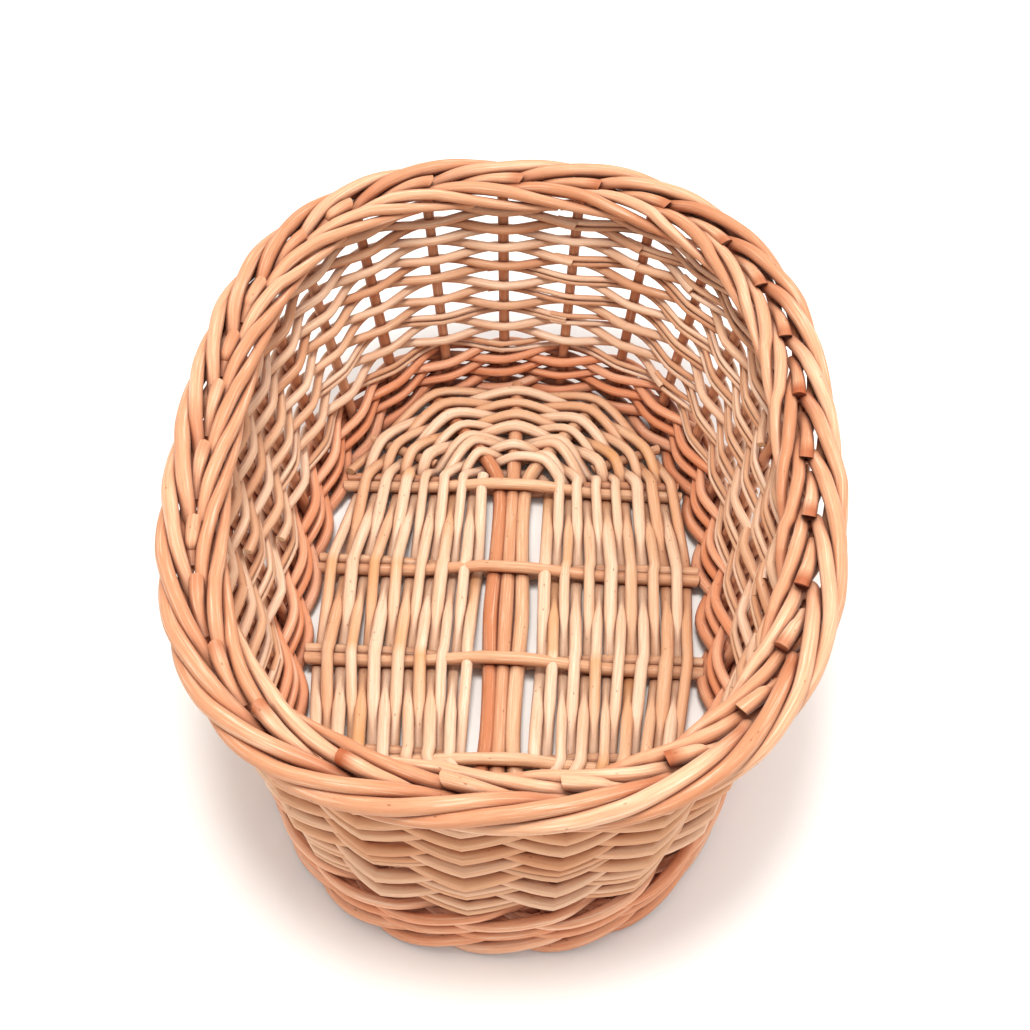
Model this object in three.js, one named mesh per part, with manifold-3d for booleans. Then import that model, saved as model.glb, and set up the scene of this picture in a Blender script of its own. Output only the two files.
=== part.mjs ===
// Oval willow basket, woven open, with a rod border and no handles.
// Millimetres, +Z up. The origin is under the middle of the basket, on the surface it stands on.
// X runs across the basket, Y along it.

import * as THREE from 'three';
import Module from 'manifold-3d';

const wasm = await Module();
wasm.setup();

// Overall size, over the border
const basketWidth = 280;
const basketLength = 372;
const basketHeight = 140;

// Plan of the wall's middle line where it meets the floor
const floorWidth = 196;
const floorLength = 320;
const ovalPower = 2.6;

// Rods
const stakeCount = 27;
const stakeRadius = 2.7;
const borderRodRadius = 2.8;
const weaverRadius = 2.45;
const waleRadius = 2.4;
const baseWeaverRadius = 1.9;
const centreStickRadius = 3.2;
const crossStickRadius = 2.6;
const clearance = 0.4;

// Weave
const weaverPitch = 5.8;
const weaverRods = 6;
const upsettRounds = 1;
const footCut = 0.5;
const baseRounds = 15;
const baseWeaverJoin = 8;
const firstBaseRoundX = 17.5;
const firstBaseRoundSplayX = 11;
const firstBaseRoundBeyondPair = 12;
const firstBaseRoundShoulder = 6;
const fanAngles = [90, 67, 41];
const groupedRounds = 2;
const threeSpokeRounds = 5;
const spokeStartRound = 5.4;
const centreStickCount = 3;
const crossPairCount = 4;
const crossPairSpacing = 54;

// Path of a border rod: along the rim in stakes, out from the wall's line, up from the border's level.
// The rod bends over the ones before it to the outer edge, sinks as the next ones are laid on it, passes
// under them to the inside, comes up there and ends at the inner edge.
const borderPath = [
  { along: 0.0, out: 0.0, up: -8.5 },
  { along: 0.05, out: 1.1, up: -4.3 },
  { along: 0.34, out: 3.3, up: -0.4 },
  { along: 0.76, out: 6.0, up: 1.3 },
  { along: 1.18, out: 8.9, up: 0.7 },
  { along: 1.52, out: 11.0, up: -1.2 },
  { along: 1.86, out: 11.3, up: -3.6 },
  { along: 2.19, out: 10.9, up: -5.9 },
  { along: 2.53, out: 8.9, up: -7.8 },
  { along: 2.78, out: 7.3, up: -8.6 },
  { along: 3.03, out: 6.2, up: -9.0 },
  { along: 3.28, out: 3.7, up: -7.9 },
  { along: 3.6, out: 0.8, up: -4.6 },
  { along: 3.98, out: -3.4, up: -0.4 },
  { along: 4.47, out: -6.4, up: 1.0 },
  { along: 5.06, out: -10.7, up: -0.5 },
  { along: 5.9, out: -11.5, up: -6.3 },
];
const borderOut = Math.max(...borderPath.map((step) => step.out)) + borderRodRadius;
const borderUp = Math.max(...borderPath.map((step) => step.up)) + borderRodRadius;
const borderDown = borderRodRadius - Math.min(...borderPath.map((step) => step.up));

// Sides of the rods' sections. A strand has a flat side below, a little nearer than its corners.
const strandSides = 5;
const stickSides = 6;
const strandFlat = Math.cos(Math.PI / strandSides);

// Levels worked out from the rods
const waleStep = 2 * waleRadius + clearance;
const footLevel = waleStep + waleRadius * strandFlat - footCut;
const waleRoundPitch = 3 * waleStep;
const upsettTop = footLevel + upsettRounds * waleRoundPitch + waleStep + waleRadius;
const borderLevel = basketHeight - borderUp;
const weaverStart = upsettTop + weaverRadius + clearance;
const weaverEnd = borderLevel - borderDown - weaverRadius - clearance;
const floorLevel = centreStickRadius + 2 * crossStickRadius + 2 * clearance;

// Oval plan

function ovalPoint(halfWidth, halfLength, angle) {
  const across = Math.cos(angle);
  const along = Math.sin(angle);
  return new THREE.Vector2(
    halfWidth * Math.sign(across) * Math.abs(across) ** (2 / ovalPower),
    halfLength * Math.sign(along) * Math.abs(along) ** (2 / ovalPower),
  );
}

function wallHalfSizes(level) {
  const rise = (level - footLevel) / (borderLevel - footLevel);
  const topHalfWidth = basketWidth / 2 - borderOut;
  const topHalfLength = basketLength / 2 - borderOut;
  return {
    width: THREE.MathUtils.lerp(floorWidth / 2, topHalfWidth, rise),
    length: THREE.MathUtils.lerp(floorLength / 2, topHalfLength, rise),
  };
}

// Angles of equal steps round the wall at mid height, so that the stakes stand evenly
function evenAngles(steps) {
  const samples = 3600;
  const half = wallHalfSizes((footLevel + borderLevel) / 2);
  const lengths = [0];
  let last = ovalPoint(half.width, half.length, 0);
  for (let i = 1; i <= samples; i += 1) {
    const next = ovalPoint(half.width, half.length, (2 * Math.PI * i) / samples);
    lengths.push(lengths[i - 1] + next.distanceTo(last));
    last = next;
  }
  const angles = [];
  let sample = 0;
  for (let step = 0; step <= steps; step += 1) {
    const wanted = (lengths[samples] * step) / steps;
    while (sample < samples - 1 && lengths[sample + 1] < wanted) sample += 1;
    const part = (wanted - lengths[sample]) / (lengths[sample + 1] - lengths[sample]);
    angles.push((2 * Math.PI * (sample + part)) / samples);
  }
  return angles;
}

const finePerStake = 40;
const fineAngles = evenAngles(stakeCount * finePerStake);

function stakeAngle(station) {
  const turns = Math.floor(station / stakeCount);
  const fine = (station - turns * stakeCount) * finePerStake;
  const below = Math.floor(fine);
  const above = Math.min(below + 1, stakeCount * finePerStake);
  return THREE.MathUtils.lerp(fineAngles[below], fineAngles[above], fine - below);
}

// A point of the wall, by its place round the basket in stakes, its level and its offset outwards
function wallPoint(station, level, out) {
  const half = wallHalfSizes(level);
  const angle = stakeAngle(station);
  const spot = ovalPoint(half.width, half.length, angle);
  const near = 1e-4;
  const ahead = ovalPoint(half.width, half.length, angle + near);
  const behind = ovalPoint(half.width, half.length, angle - near);
  const normal = new THREE.Vector2(ahead.y - behind.y, behind.x - ahead.x).normalize();
  return new THREE.Vector3(spot.x + normal.x * out, spot.y + normal.y * out, level);
}

// Where a line along X at a given Y meets the inner side of the foot
function floorEdgeX(y, inset) {
  const halfWidth = floorWidth / 2 - inset;
  const halfLength = floorLength / 2 - inset;
  return halfWidth * (1 - Math.abs(y / halfLength) ** ovalPower) ** (1 / ovalPower);
}

// Rods

// A rod through points: one ring of points each, square to the rod, closed on itself or capped.
// Its first side faces the way that sideways gives.
function rodGeometry(points, radii, sides, isRing, sideways) {
  const count = points.length;
  const positions = [];
  const index = [];
  let side = sideways.clone();
  for (let i = 0; i < count; i += 1) {
    const before = points[isRing ? (i + count - 1) % count : Math.max(i - 1, 0)];
    const after = points[isRing ? (i + 1) % count : Math.min(i + 1, count - 1)];
    const towards = after.clone().sub(before).normalize();
    if (isRing) side = sideways.clone();
    side.addScaledVector(towards, -side.dot(towards)).normalize();
    const third = towards.clone().cross(side);
    const radius = Array.isArray(radii) ? radii[i] : radii;
    for (let j = 0; j < sides; j += 1) {
      const turn = (2 * Math.PI * j) / sides;
      const spot = points[i].clone();
      spot.addScaledVector(side, radius * Math.cos(turn));
      spot.addScaledVector(third, radius * Math.sin(turn));
      positions.push(spot.x, spot.y, spot.z);
    }
  }
  const spans = isRing ? count : count - 1;
  for (let i = 0; i < spans; i += 1) {
    const here = i * sides;
    const next = ((i + 1) % count) * sides;
    for (let j = 0; j < sides; j += 1) {
      const k = (j + 1) % sides;
      index.push(here + j, here + k, next + k);
      index.push(here + j, next + k, next + j);
    }
  }
  if (!isRing) {
    const end = (count - 1) * sides;
    for (let j = 1; j < sides - 1; j += 1) {
      index.push(0, j + 1, j);
      index.push(end, end + j, end + j + 1);
    }
  }
  const geometry = new THREE.BufferGeometry();
  geometry.setAttribute('position', new THREE.Float32BufferAttribute(positions, 3));
  geometry.setIndex(index);
  return geometry;
}

function toSolid(geometry) {
  const mesh = new wasm.Mesh({
    numProp: 3,
    vertProperties: Float32Array.from(geometry.attributes.position.array),
    triVerts: Uint32Array.from(geometry.index.array),
  });
  return new wasm.Manifold(mesh);
}

function toGeometry(solid) {
  const mesh = solid.getMesh();
  const geometry = new THREE.BufferGeometry();
  geometry.setAttribute('position', new THREE.Float32BufferAttribute(mesh.vertProperties, 3));
  geometry.setIndex(Array.from(mesh.triVerts));
  return geometry;
}

// Takes off what reaches below the surface that the basket stands on
function cutFlatBelow(geometry) {
  const depth = 20;
  const box = new THREE.BoxGeometry(2 * basketWidth, 2 * basketLength, depth);
  box.translate(0, 0, -depth / 2);
  const corners = [];
  const cornerOf = new Map();
  const index = [];
  const spots = box.attributes.position;
  for (const vertex of box.index.array) {
    const spot = [spots.getX(vertex), spots.getY(vertex), spots.getZ(vertex)];
    const key = spot.join();
    if (!cornerOf.has(key)) {
      cornerOf.set(key, corners.length / 3);
      corners.push(...spot);
    }
    index.push(cornerOf.get(key));
  }
  const block = new THREE.BufferGeometry();
  block.setAttribute('position', new THREE.Float32BufferAttribute(corners, 3));
  block.setIndex(index);
  return toGeometry(toSolid(geometry).subtract(toSolid(block)));
}

// Materials: peeled and steamed willow

function willow(colour, roughness) {
  return new THREE.MeshStandardMaterial({ color: colour, roughness, metalness: 0 });
}

const basket = new THREE.Group();

function addRod(name, geometry, material) {
  const flat = geometry.toNonIndexed();
  flat.computeVertexNormals();
  const mesh = new THREE.Mesh(flat, material);
  mesh.name = name;
  basket.add(mesh);
}

// Base sticks

const upwards = new THREE.Vector3(0, 0, 1);
const footInset = weaveOffset(waleRadius) + waleRadius + clearance;
const stickInset = footInset - waleRadius / 6;
const lastRoundInset = footInset + baseWeaverRadius;
const outerPairY = (crossPairSpacing * (crossPairCount - 1)) / 2;
const pairHalfGap = crossStickRadius + clearance / 2;
const crossPairY = (pair) => (pair - (crossPairCount - 1) / 2) * crossPairSpacing;

// How far a strand's middle stands off the middle of the rod it passes, where it turns there
function weaveOffset(strandRadius) {
  const stakePitch = stakeSpacing();
  const reach = stakeRadius + strandRadius + clearance;
  return reach * Math.hypot(1, (2 * reach) / stakePitch);
}

function stakeSpacing() {
  const half = wallHalfSizes(footLevel);
  const a = ovalPoint(half.width, half.length, stakeAngle(0));
  const b = ovalPoint(half.width, half.length, stakeAngle(1));
  return a.distanceTo(b);
}

// End of a spoke of the floor's fans: 0 is the middle stick, 1 and 2 are the spokes beside it
function fanEnd(spoke, inset) {
  const angle = THREE.MathUtils.degToRad(fanAngles[spoke]);
  return ovalPoint(floorWidth / 2 - inset, floorLength / 2 - inset, angle);
}

function addCentreSticks() {
  const spacing = 2 * centreStickRadius + clearance;
  const splayStart = outerPairY + pairHalfGap + crossStickRadius;
  const names = ['left', 'middle', 'right'];
  for (let i = 0; i < centreStickCount; i += 1) {
    const place = i - (centreStickCount - 1) / 2;
    const points = [];
    const radii = [];
    for (const end of [-1, 1]) {
      const straight = new THREE.Vector3(place * spacing, end * splayStart, floorLevel);
      const tipSpot = fanEnd(Math.abs(place), stickInset);
      const tip = new THREE.Vector3(place * tipSpot.x, end * tipSpot.y, floorLevel);
      points.push(...(end < 0 ? [tip, straight] : [straight, tip]));
      radii.push(...(end < 0 ? [crossStickRadius, centreStickRadius] : [centreStickRadius, crossStickRadius]));
    }
    const material = willow(['#c9855f', '#cf9a80', '#dcb592'][i], 0.62);
    addRod(`base_centre_stick_${names[i]}`, rodGeometry(points, radii, stickSides, false, upwards), material);
  }
}

// One stick of each pair passes over the centre sticks and one under, and at the sides they lie level
function addCrossSticks() {
  const groupTop = centreStickCount * centreStickRadius - clearance;
  const slopeEnd = groupTop + 2 * centreStickRadius;
  const lift = centreStickRadius + crossStickRadius + clearance;
  for (let pair = 0; pair < crossPairCount; pair += 1) {
    for (const way of [1, -1]) {
      const y = crossPairY(pair) - way * pairHalfGap;
      const tip = floorEdgeX(Math.abs(y) + crossStickRadius, stickInset);
      const points = [
        new THREE.Vector3(-tip, y, floorLevel),
        new THREE.Vector3(-slopeEnd, y, floorLevel),
        new THREE.Vector3(-groupTop, y, floorLevel + way * lift),
        new THREE.Vector3(groupTop, y, floorLevel + way * lift),
        new THREE.Vector3(slopeEnd, y, floorLevel),
        new THREE.Vector3(tip, y, floorLevel),
      ];
      const name = `base_cross_stick_${pair + 1}_${way > 0 ? 'over' : 'under'}`;
      const geometry = rodGeometry(points, crossStickRadius, stickSides, false, upwards);
      addRod(name, geometry, willow(way > 0 ? '#d9a27c' : '#c08058', 0.62));
    }
  }
}

// Short rods beside the centre sticks that widen the fan at each end of the floor
function addEndSpokes() {
  for (const endY of [1, -1]) {
    for (const sideX of [1, -1]) {
      const inner = fanSpot(2, spokeStartRound);
      const outer = fanEnd(2, stickInset);
      const points = [
        new THREE.Vector3(sideX * inner.x, endY * inner.y, floorLevel),
        new THREE.Vector3(sideX * outer.x, endY * outer.y, floorLevel),
      ];
      const name = `base_spoke_${endY > 0 ? 'far' : 'near'}_${sideX > 0 ? 'right' : 'left'}`;
      addRod(name, rodGeometry(points, crossStickRadius, stickSides, false, upwards), willow('#b97f58', 0.62));
    }
  }
}

// Base weave

// Place of a base round on a spoke
function fanSpot(spoke, round) {
  const rootY = outerPairY + firstBaseRoundBeyondPair;
  const root = [
    new THREE.Vector2(0, rootY),
    new THREE.Vector2(firstBaseRoundSplayX, rootY - clearance),
    new THREE.Vector2(firstBaseRoundX, rootY - firstBaseRoundShoulder),
  ][spoke];
  return root.lerp(fanEnd(spoke, lastRoundInset), round / (baseRounds - 1));
}

// The places that one turn of a base weaver passes, and whether it goes over (1) or under (-1) there
function baseStations() {
  const stations = [];
  for (const side of [1, -1]) {
    for (let pair = 0; pair < crossPairCount; pair += 1) {
      const y = side * crossPairY(pair);
      const over = side * (pair % 2 === 0 ? 1 : -1);
      const isOuter = pair === 0 || pair === crossPairCount - 1;
      const shifts = isOuter ? [-pairHalfGap, pairHalfGap] : [0];
      for (const shift of shifts) stations.push({ kind: 'pair', side, y: y + side * shift, over, isOuter });
    }
    for (const spoke of [2, 1, 0, -1, -2]) stations.push({ kind: 'fan', side, spoke });
  }
  return stations;
}

// Over or under at a spoke. The first rounds pass all three centre sticks together, the next ones
// open them out, and the outer rounds take in the short spokes too.
function fanSign(spoke, side, round) {
  const outerPairSign = -side;
  const place = Math.abs(spoke);
  if (round < groupedRounds) return place === 2 ? 0 : outerPairSign;
  if (round < threeSpokeRounds) return place === 2 ? 0 : outerPairSign * (place === 1 ? -1 : 1);
  return outerPairSign * (place === 1 ? 1 : -1);
}

function baseWeaverPoints(isSecond, firstRound, lastRound) {
  const stations = baseStations();
  const reach = crossStickRadius + baseWeaverRadius + clearance;
  const pairSpan = crossPairSpacing - 2 * pairHalfGap;
  const pairLift = (reach * Math.hypot(1, (2 * reach) / crossPairSpacing) * crossPairSpacing) / pairSpan;
  const outerPairLift = reach + 2 * clearance;
  const spokeLift = reach + 3 * clearance;
  const points = [];
  const turnSign = isSecond ? -1 : 1;
  const total = stations.length * baseRounds;
  for (let step = 0; step < total; step += 1) {
    const round = (2 * step) / stations.length - (isSecond ? 1 : 0);
    if (round < firstRound || round > lastRound) continue;
    const station = stations[step % stations.length];
    if (station.kind === 'pair') {
      const outerX = floorEdgeX(station.y, lastRoundInset);
      const x = THREE.MathUtils.lerp(firstBaseRoundX, outerX, round / (baseRounds - 1));
      const lift = station.isOuter ? outerPairLift : pairLift;
      points.push(new THREE.Vector3(station.side * x, station.y, floorLevel + turnSign * station.over * lift));
    } else {
      const sign = fanSign(station.spoke, station.side, round) * turnSign;
      const isSkipped = sign === 0;
      if (isSkipped) continue;
      const spot = fanSpot(Math.abs(station.spoke), round);
      const x = station.side * Math.sign(station.spoke) * spot.x;
      points.push(new THREE.Vector3(x, station.side * spot.y, floorLevel + sign * spokeLift));
    }
  }
  return points;
}

function addBaseWeave() {
  const last = baseRounds - 1;
  const gapInRounds = 0.1;
  const rods = [
    ['base_weaver_first_inner', false, 0, baseWeaverJoin],
    ['base_weaver_first_outer', false, baseWeaverJoin + gapInRounds, last],
    ['base_weaver_second_inner', true, 0, baseWeaverJoin],
    ['base_weaver_second_outer', true, baseWeaverJoin + gapInRounds, last],
  ];
  for (const [name, isSecond, first, end] of rods) {
    const points = baseWeaverPoints(isSecond, first, end);
    const material = willow(isSecond ? '#e6c6a4' : '#eed6b8', 0.6);
    addRod(name, rodGeometry(points, baseWeaverRadius, strandSides, false, upwards), material);
  }
}

// Wale: each rod passes in front of two stakes and behind one, and three rods take turns

function waleRing(level, phase) {
  const offset = weaveOffset(waleRadius);
  const points = [];
  for (let stake = 0; stake < stakeCount; stake += 1) {
    const place = (stake + phase) % 3;
    const out = place === 0 ? -offset : offset;
    const rise = [0, -waleStep, waleStep][place];
    points.push(wallPoint(stake, level + rise, out));
  }
  return rodGeometry(points, waleRadius, strandSides, true, upwards);
}

function addWale(name, level, colour, standsOnFloor) {
  for (let phase = 0; phase < 3; phase += 1) {
    const ring = waleRing(level, phase);
    addRod(`${name}_rod_${phase + 1}`, standsOnFloor ? cutFlatBelow(ring) : ring, willow(colour, 0.65));
  }
}

// Side weave: weavers that pass in front of one stake and behind the next. The number of stakes
// is odd, so one spiral takes its turns in front and behind by itself.

function addSideWeave() {
  const turns = (weaverEnd - weaverStart) / weaverPitch;
  const steps = Math.floor(turns * stakeCount);
  const offset = weaveOffset(weaverRadius);
  const perRod = steps / weaverRods;
  for (let rod = 0; rod < weaverRods; rod += 1) {
    const first = Math.round(rod * perRod);
    const last = Math.round((rod + 1) * perRod) - 1;
    const points = [];
    for (let step = first; step <= last; step += 1) {
      const out = step % 2 === 0 ? offset : -offset;
      points.push(wallPoint(step, weaverStart + (step / stakeCount) * weaverPitch, out));
    }
    const material = willow(['#ecd3b4', '#e9c9a8', '#f0dcc0', '#e6c3a2'][rod % 4], 0.6);
    addRod(`side_weaver_${rod + 1}`, rodGeometry(points, weaverRadius, strandSides, false, upwards), material);
  }
}

// Stakes: each rises through the wall and turns down into the border

function addStakes() {
  const stakeFoot = 0.6;
  for (let stake = 0; stake < stakeCount; stake += 1) {
    const points = [wallPoint(stake, stakeFoot, 0)];
    const radii = [stakeRadius];
    for (const step of borderPath) {
      points.push(wallPoint(stake + stakeCount - step.along, borderLevel + step.up, step.out));
      radii.push(points.length === 2 ? stakeRadius : borderRodRadius);
    }
    const outwards = wallPoint(stake, stakeFoot, 1).sub(points[0]);
    const geometry = rodGeometry(points, radii, stickSides, false, outwards);
    const number = String(stake + 1).padStart(2, '0');
    const material = willow(['#dda27a', '#e3b088', '#d8946c'][stake % 3], 0.6);
    addRod(`stake_and_border_rod_${number}`, geometry, material);
  }
}

addCentreSticks();
addCrossSticks();
addEndSpokes();
addBaseWeave();
addWale('foot_wale', footLevel, '#c98560', true);
for (let round = 1; round <= upsettRounds; round += 1) {
  addWale(`upsett_wale_${round}`, footLevel + round * waleRoundPitch, '#cd8a64', false);
}
addSideWeave();
addStakes();

export default basket;
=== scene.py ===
# Oval willow basket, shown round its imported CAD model.
# The scene is in metres with +Z up. Lengths in the settings are millimetres.

import math
import random

import bpy
import numpy as np
from mathutils import Matrix, Vector


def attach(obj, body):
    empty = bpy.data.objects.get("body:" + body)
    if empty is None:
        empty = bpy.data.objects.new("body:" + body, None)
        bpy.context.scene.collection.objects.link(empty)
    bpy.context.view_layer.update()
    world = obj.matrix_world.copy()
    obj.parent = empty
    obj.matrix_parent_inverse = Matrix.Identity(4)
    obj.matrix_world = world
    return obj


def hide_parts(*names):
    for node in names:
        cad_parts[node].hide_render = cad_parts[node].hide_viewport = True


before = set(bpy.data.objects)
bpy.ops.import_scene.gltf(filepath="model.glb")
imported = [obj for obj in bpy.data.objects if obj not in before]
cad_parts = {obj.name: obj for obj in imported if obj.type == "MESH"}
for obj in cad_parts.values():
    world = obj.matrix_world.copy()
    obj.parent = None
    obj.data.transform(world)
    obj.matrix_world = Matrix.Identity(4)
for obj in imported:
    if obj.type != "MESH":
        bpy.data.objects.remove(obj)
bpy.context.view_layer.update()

mm = 0.001
fullTurn = 2 * math.pi
dice = random.Random(27)  # one fixed seed, so each run gives the same basket

basket = {
    "width": 280,
    "length": 372,
    "floorWidth": 196,
    "floorLength": 320,
    "footLevel": 6.64,
    "borderLevel": 135.9,
    "borderOut": 14.1,  # from the line of the stakes to the rim's outer edge
    "power": 2.6,  # squareness of the oval
    "stakes": 27,  # odd, so one spiral weaver changes sides at each stake by itself
    "stakeRadius": 2.7,
    "stakeSpacing": 37,
}


# Oval plan, the same as the CAD model's

def ovalPoint(halfWidth, halfLength, angle):
    across, along = np.cos(angle), np.sin(angle)
    power = 2 / basket["power"]
    x = halfWidth * np.sign(across) * np.abs(across) ** power
    y = halfLength * np.sign(along) * np.abs(along) ** power
    return x, y


def wallSizes(level):
    rise = (level - basket["footLevel"]) / (basket["borderLevel"] - basket["footLevel"])
    low = (basket["floorWidth"] / 2, basket["floorLength"] / 2)
    high = (basket["width"] / 2 - basket["borderOut"], basket["length"] / 2 - basket["borderOut"])
    return low[0] + (high[0] - low[0]) * rise, low[1] + (high[1] - low[1]) * rise


planSteps = 3600  # fine enough to measure along the oval
evenAngle = np.linspace(0, fullTurn, planSteps + 1)
evenX, evenY = ovalPoint(*wallSizes((basket["footLevel"] + basket["borderLevel"]) / 2), evenAngle)
evenLength = np.concatenate([[0], np.cumsum(np.hypot(np.diff(evenX), np.diff(evenY)))])


# Stations count the stakes anticlockwise, from the middle of the right side

def stakeAngle(station):
    part = np.mod(station, basket["stakes"]) / basket["stakes"]
    return np.interp(part * evenLength[-1], evenLength, evenAngle)


def wallPoints(stations, levels, outs):
    nearby = 1e-3  # radians to either side, for the direction outwards
    stations, levels, outs = np.broadcast_arrays(np.asarray(stations, float), levels, outs)
    halfWidth, halfLength = wallSizes(levels)
    angle = stakeAngle(stations)
    x, y = ovalPoint(halfWidth, halfLength, angle)
    aheadX, aheadY = ovalPoint(halfWidth, halfLength, angle + nearby)
    behindX, behindY = ovalPoint(halfWidth, halfLength, angle - nearby)
    normal = np.stack([aheadY - behindY, behindX - aheadX], 1)
    normal /= np.linalg.norm(normal, axis=1)[:, None]
    return np.stack([x + normal[:, 0] * outs, y + normal[:, 1] * outs, levels], 1)


def floorEdgeX(y, inset):
    halfWidth = basket["floorWidth"] / 2 - inset
    halfLength = basket["floorLength"] / 2 - inset
    return halfWidth * (1 - abs(y / halfLength) ** basket["power"]) ** (1 / basket["power"])


# Rods. A woven rod bends at every crossing, so its mesh is laid along points.

cutHollow = 0.15  # depth of the dish in a cut end
creaseAngle = 50  # degrees past which an edge stays sharp


# Smooth curve through the points, whose bends suit the distances between them

def curveThrough(points, steps, tension=0.5, closed=False, chordScale=1):
    points = np.asarray(points, float)
    if closed:
        wrapped = np.concatenate([points[-1:], points, points[:2]])
    else:
        wrapped = np.concatenate([points[:1] * 2 - points[1:2], points, points[-1:] * 2 - points[-2:-1]])
    spans = len(wrapped) - 3
    part = np.linspace(0, 1, steps, endpoint=False)[None, :, None]
    before, start = wrapped[:spans, None], wrapped[1:spans + 1, None]
    end, after = wrapped[2:spans + 2, None], wrapped[3:spans + 3, None]
    chord = np.linalg.norm(np.diff(wrapped[:, :3] * chordScale, axis=0), axis=1)[:, None, None] + 1e-6
    span = 2 * tension * chord[1:spans + 1]
    leave = (end - before) * span / (chord[:spans] + chord[1:spans + 1])
    arrive = (after - start) * span / (chord[1:spans + 1] + chord[2:spans + 2])
    square, cube = part ** 2, part ** 3
    curve = (
        (2 * cube - 3 * square + 1) * start + (cube - 2 * square + part) * leave
        + (3 * square - 2 * cube) * end + (cube - square) * arrive
    ).reshape(-1, points.shape[1])
    return curve if closed else np.concatenate([curve, points[-1:]])


# Slow wander, with one free value every few points

def slowNoise(count, spacing, size, seed):
    wander = np.random.default_rng(seed).normal(0, size, max(int(count / spacing) + 3, 4))
    return np.interp(np.arange(count) / spacing, np.arange(len(wander)), wander)


def wanderSeed(seed):
    return int(seed * 1e6)


# Directions along and across a path. The one across starts as near the reference as it can.

def directionsAlong(path, closed, reference):
    if closed:
        towards = np.roll(path, -1, 0) - np.roll(path, 1, 0)
    else:
        towards = np.gradient(path, axis=0)
    towards /= np.linalg.norm(towards, axis=1)[:, None]
    across = np.empty_like(towards)
    side = np.array(reference, float)
    for i in range(len(path)):
        if closed:
            side = np.array(reference, float)
        side = side - towards[i] * side.dot(towards[i])
        side /= np.linalg.norm(side)
        across[i] = side
    return towards, across, np.cross(towards, across)


# A round rod with slanted, dished ends. The place on the rod and its stain and painted shade are kept for
# the finish.

def makeRod(
    path, radii, sides, closed=False, seed=0.0, reference=(0, 0, 1), slant=0.3, stainAndShade=0.0, flat=1.0
):
    count = len(path)
    ends = () if closed else ((0, -1), (count - 1, 1))
    radii = np.broadcast_to(np.asarray(radii, float), (count,))
    towards, across, third = directionsAlong(path, closed, reference)
    turn = np.arange(sides) * fullTurn / sides
    ring = across[:, None] * np.cos(turn)[None, :, None] * flat
    ring = ring + third[:, None] * np.sin(turn)[None, :, None]
    spots = path[:, None] + ring * radii[:, None, None]
    steps = np.linalg.norm(np.diff(path, axis=0), axis=1)
    distance = np.concatenate([[0], np.cumsum(steps)])
    coords = np.empty((count, sides, 3))
    coords[:, :, 0] = np.cos(turn)[None] * radii[:, None]
    coords[:, :, 1] = np.sin(turn)[None] * radii[:, None]
    coords[:, :, 2] = distance[:, None]
    for end, way in ends:
        spots[end] += towards[end] * (np.cos(turn) * slant * radii[end] * way)[:, None]
    here = np.arange(count if closed else count - 1)[:, None] * sides
    there = (here + sides) % (count * sides)
    j = np.arange(sides)[None]
    k = (j + 1) % sides
    faces = np.stack([here + j, here + k, there + k, there + j], 2).reshape(-1, 4).tolist()
    spots, coords = spots.reshape(-1, 3), coords.reshape(-1, 3)
    cut = np.zeros(len(spots))
    stainAndShade = np.repeat(np.broadcast_to(np.asarray(stainAndShade, float), (count,)), sides)
    for end, way in ends:
        first = len(spots)
        rim = spots[end * sides:(end + 1) * sides]
        rimCoords = coords[end * sides:(end + 1) * sides]
        middle = rim.mean(0) - towards[end] * way * cutHollow
        spots = np.concatenate([spots, rim, middle[None]])
        coords = np.concatenate([coords, rimCoords, [[0, 0, rimCoords[0, 2]]]])
        cut = np.concatenate([cut, np.ones(sides + 1)])
        stainAndShade = np.concatenate([stainAndShade, np.full(sides + 1, stainAndShade[end * sides])])
        for m in range(sides):
            edge = [first + m, first + (m + 1) % sides]
            faces.append((edge if way > 0 else edge[::-1]) + [first + sides])
    seeds = np.full(len(spots), seed)
    return {"spots": spots, "coords": coords, "cut": cut, "faces": faces, "seed": seeds, "stainAndShade": stainAndShade}


# Joins the rods into one object that stands for the CAD nodes

def addPiece(name, rods, material, nodes):
    spots = np.concatenate([rod["spots"] for rod in rods]) * mm
    faces, first = [], 0
    for rod in rods:
        faces += [[first + corner for corner in face] for face in rod["faces"]]
        first += len(rod["spots"])
    mesh = bpy.data.meshes.new(name)
    mesh.from_pydata(spots.tolist(), [], faces)
    for label, kind, field, key in (
        ("rodCoord", "FLOAT_VECTOR", "vector", "coords"),
        ("rodSeed", "FLOAT", "value", "seed"),
        ("cutEnd", "FLOAT", "value", "cut"),
        ("rodStainAndShade", "FLOAT", "value", "stainAndShade"),
    ):
        values = np.concatenate([rod[key] for rod in rods]).astype(np.float32)
        mesh.attributes.new(label, kind, "POINT").data.foreach_set(field, values.ravel())
    mesh.materials.append(material)
    piece = bpy.data.objects.new(name, mesh)
    bpy.context.collection.objects.link(piece)
    bpy.ops.object.select_all(action="DESELECT")
    piece.select_set(True)
    bpy.context.view_layer.objects.active = piece
    bpy.ops.object.mode_set(mode="EDIT")
    bpy.ops.mesh.select_all(action="SELECT")
    bpy.ops.mesh.normals_make_consistent(inside=False)
    bpy.ops.object.mode_set(mode="OBJECT")
    bpy.ops.object.shade_smooth_by_angle(angle=math.radians(creaseAngle))
    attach(piece, "root")
    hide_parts(*nodes)
    return piece


# Finish

def toLinear(colour):
    values = [int(colour[i:i + 2], 16) / 255 for i in (1, 3, 5)]
    return [*(v / 12.92 if v <= 0.04045 else ((v + 0.055) / 1.055) ** 2.4 for v in values), 1]


# Adds a node with its settings, inputs and, for a ramp, stops. An input is a value, a hex colour,
# a socket to link, or a node whose first output is linked.

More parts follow.
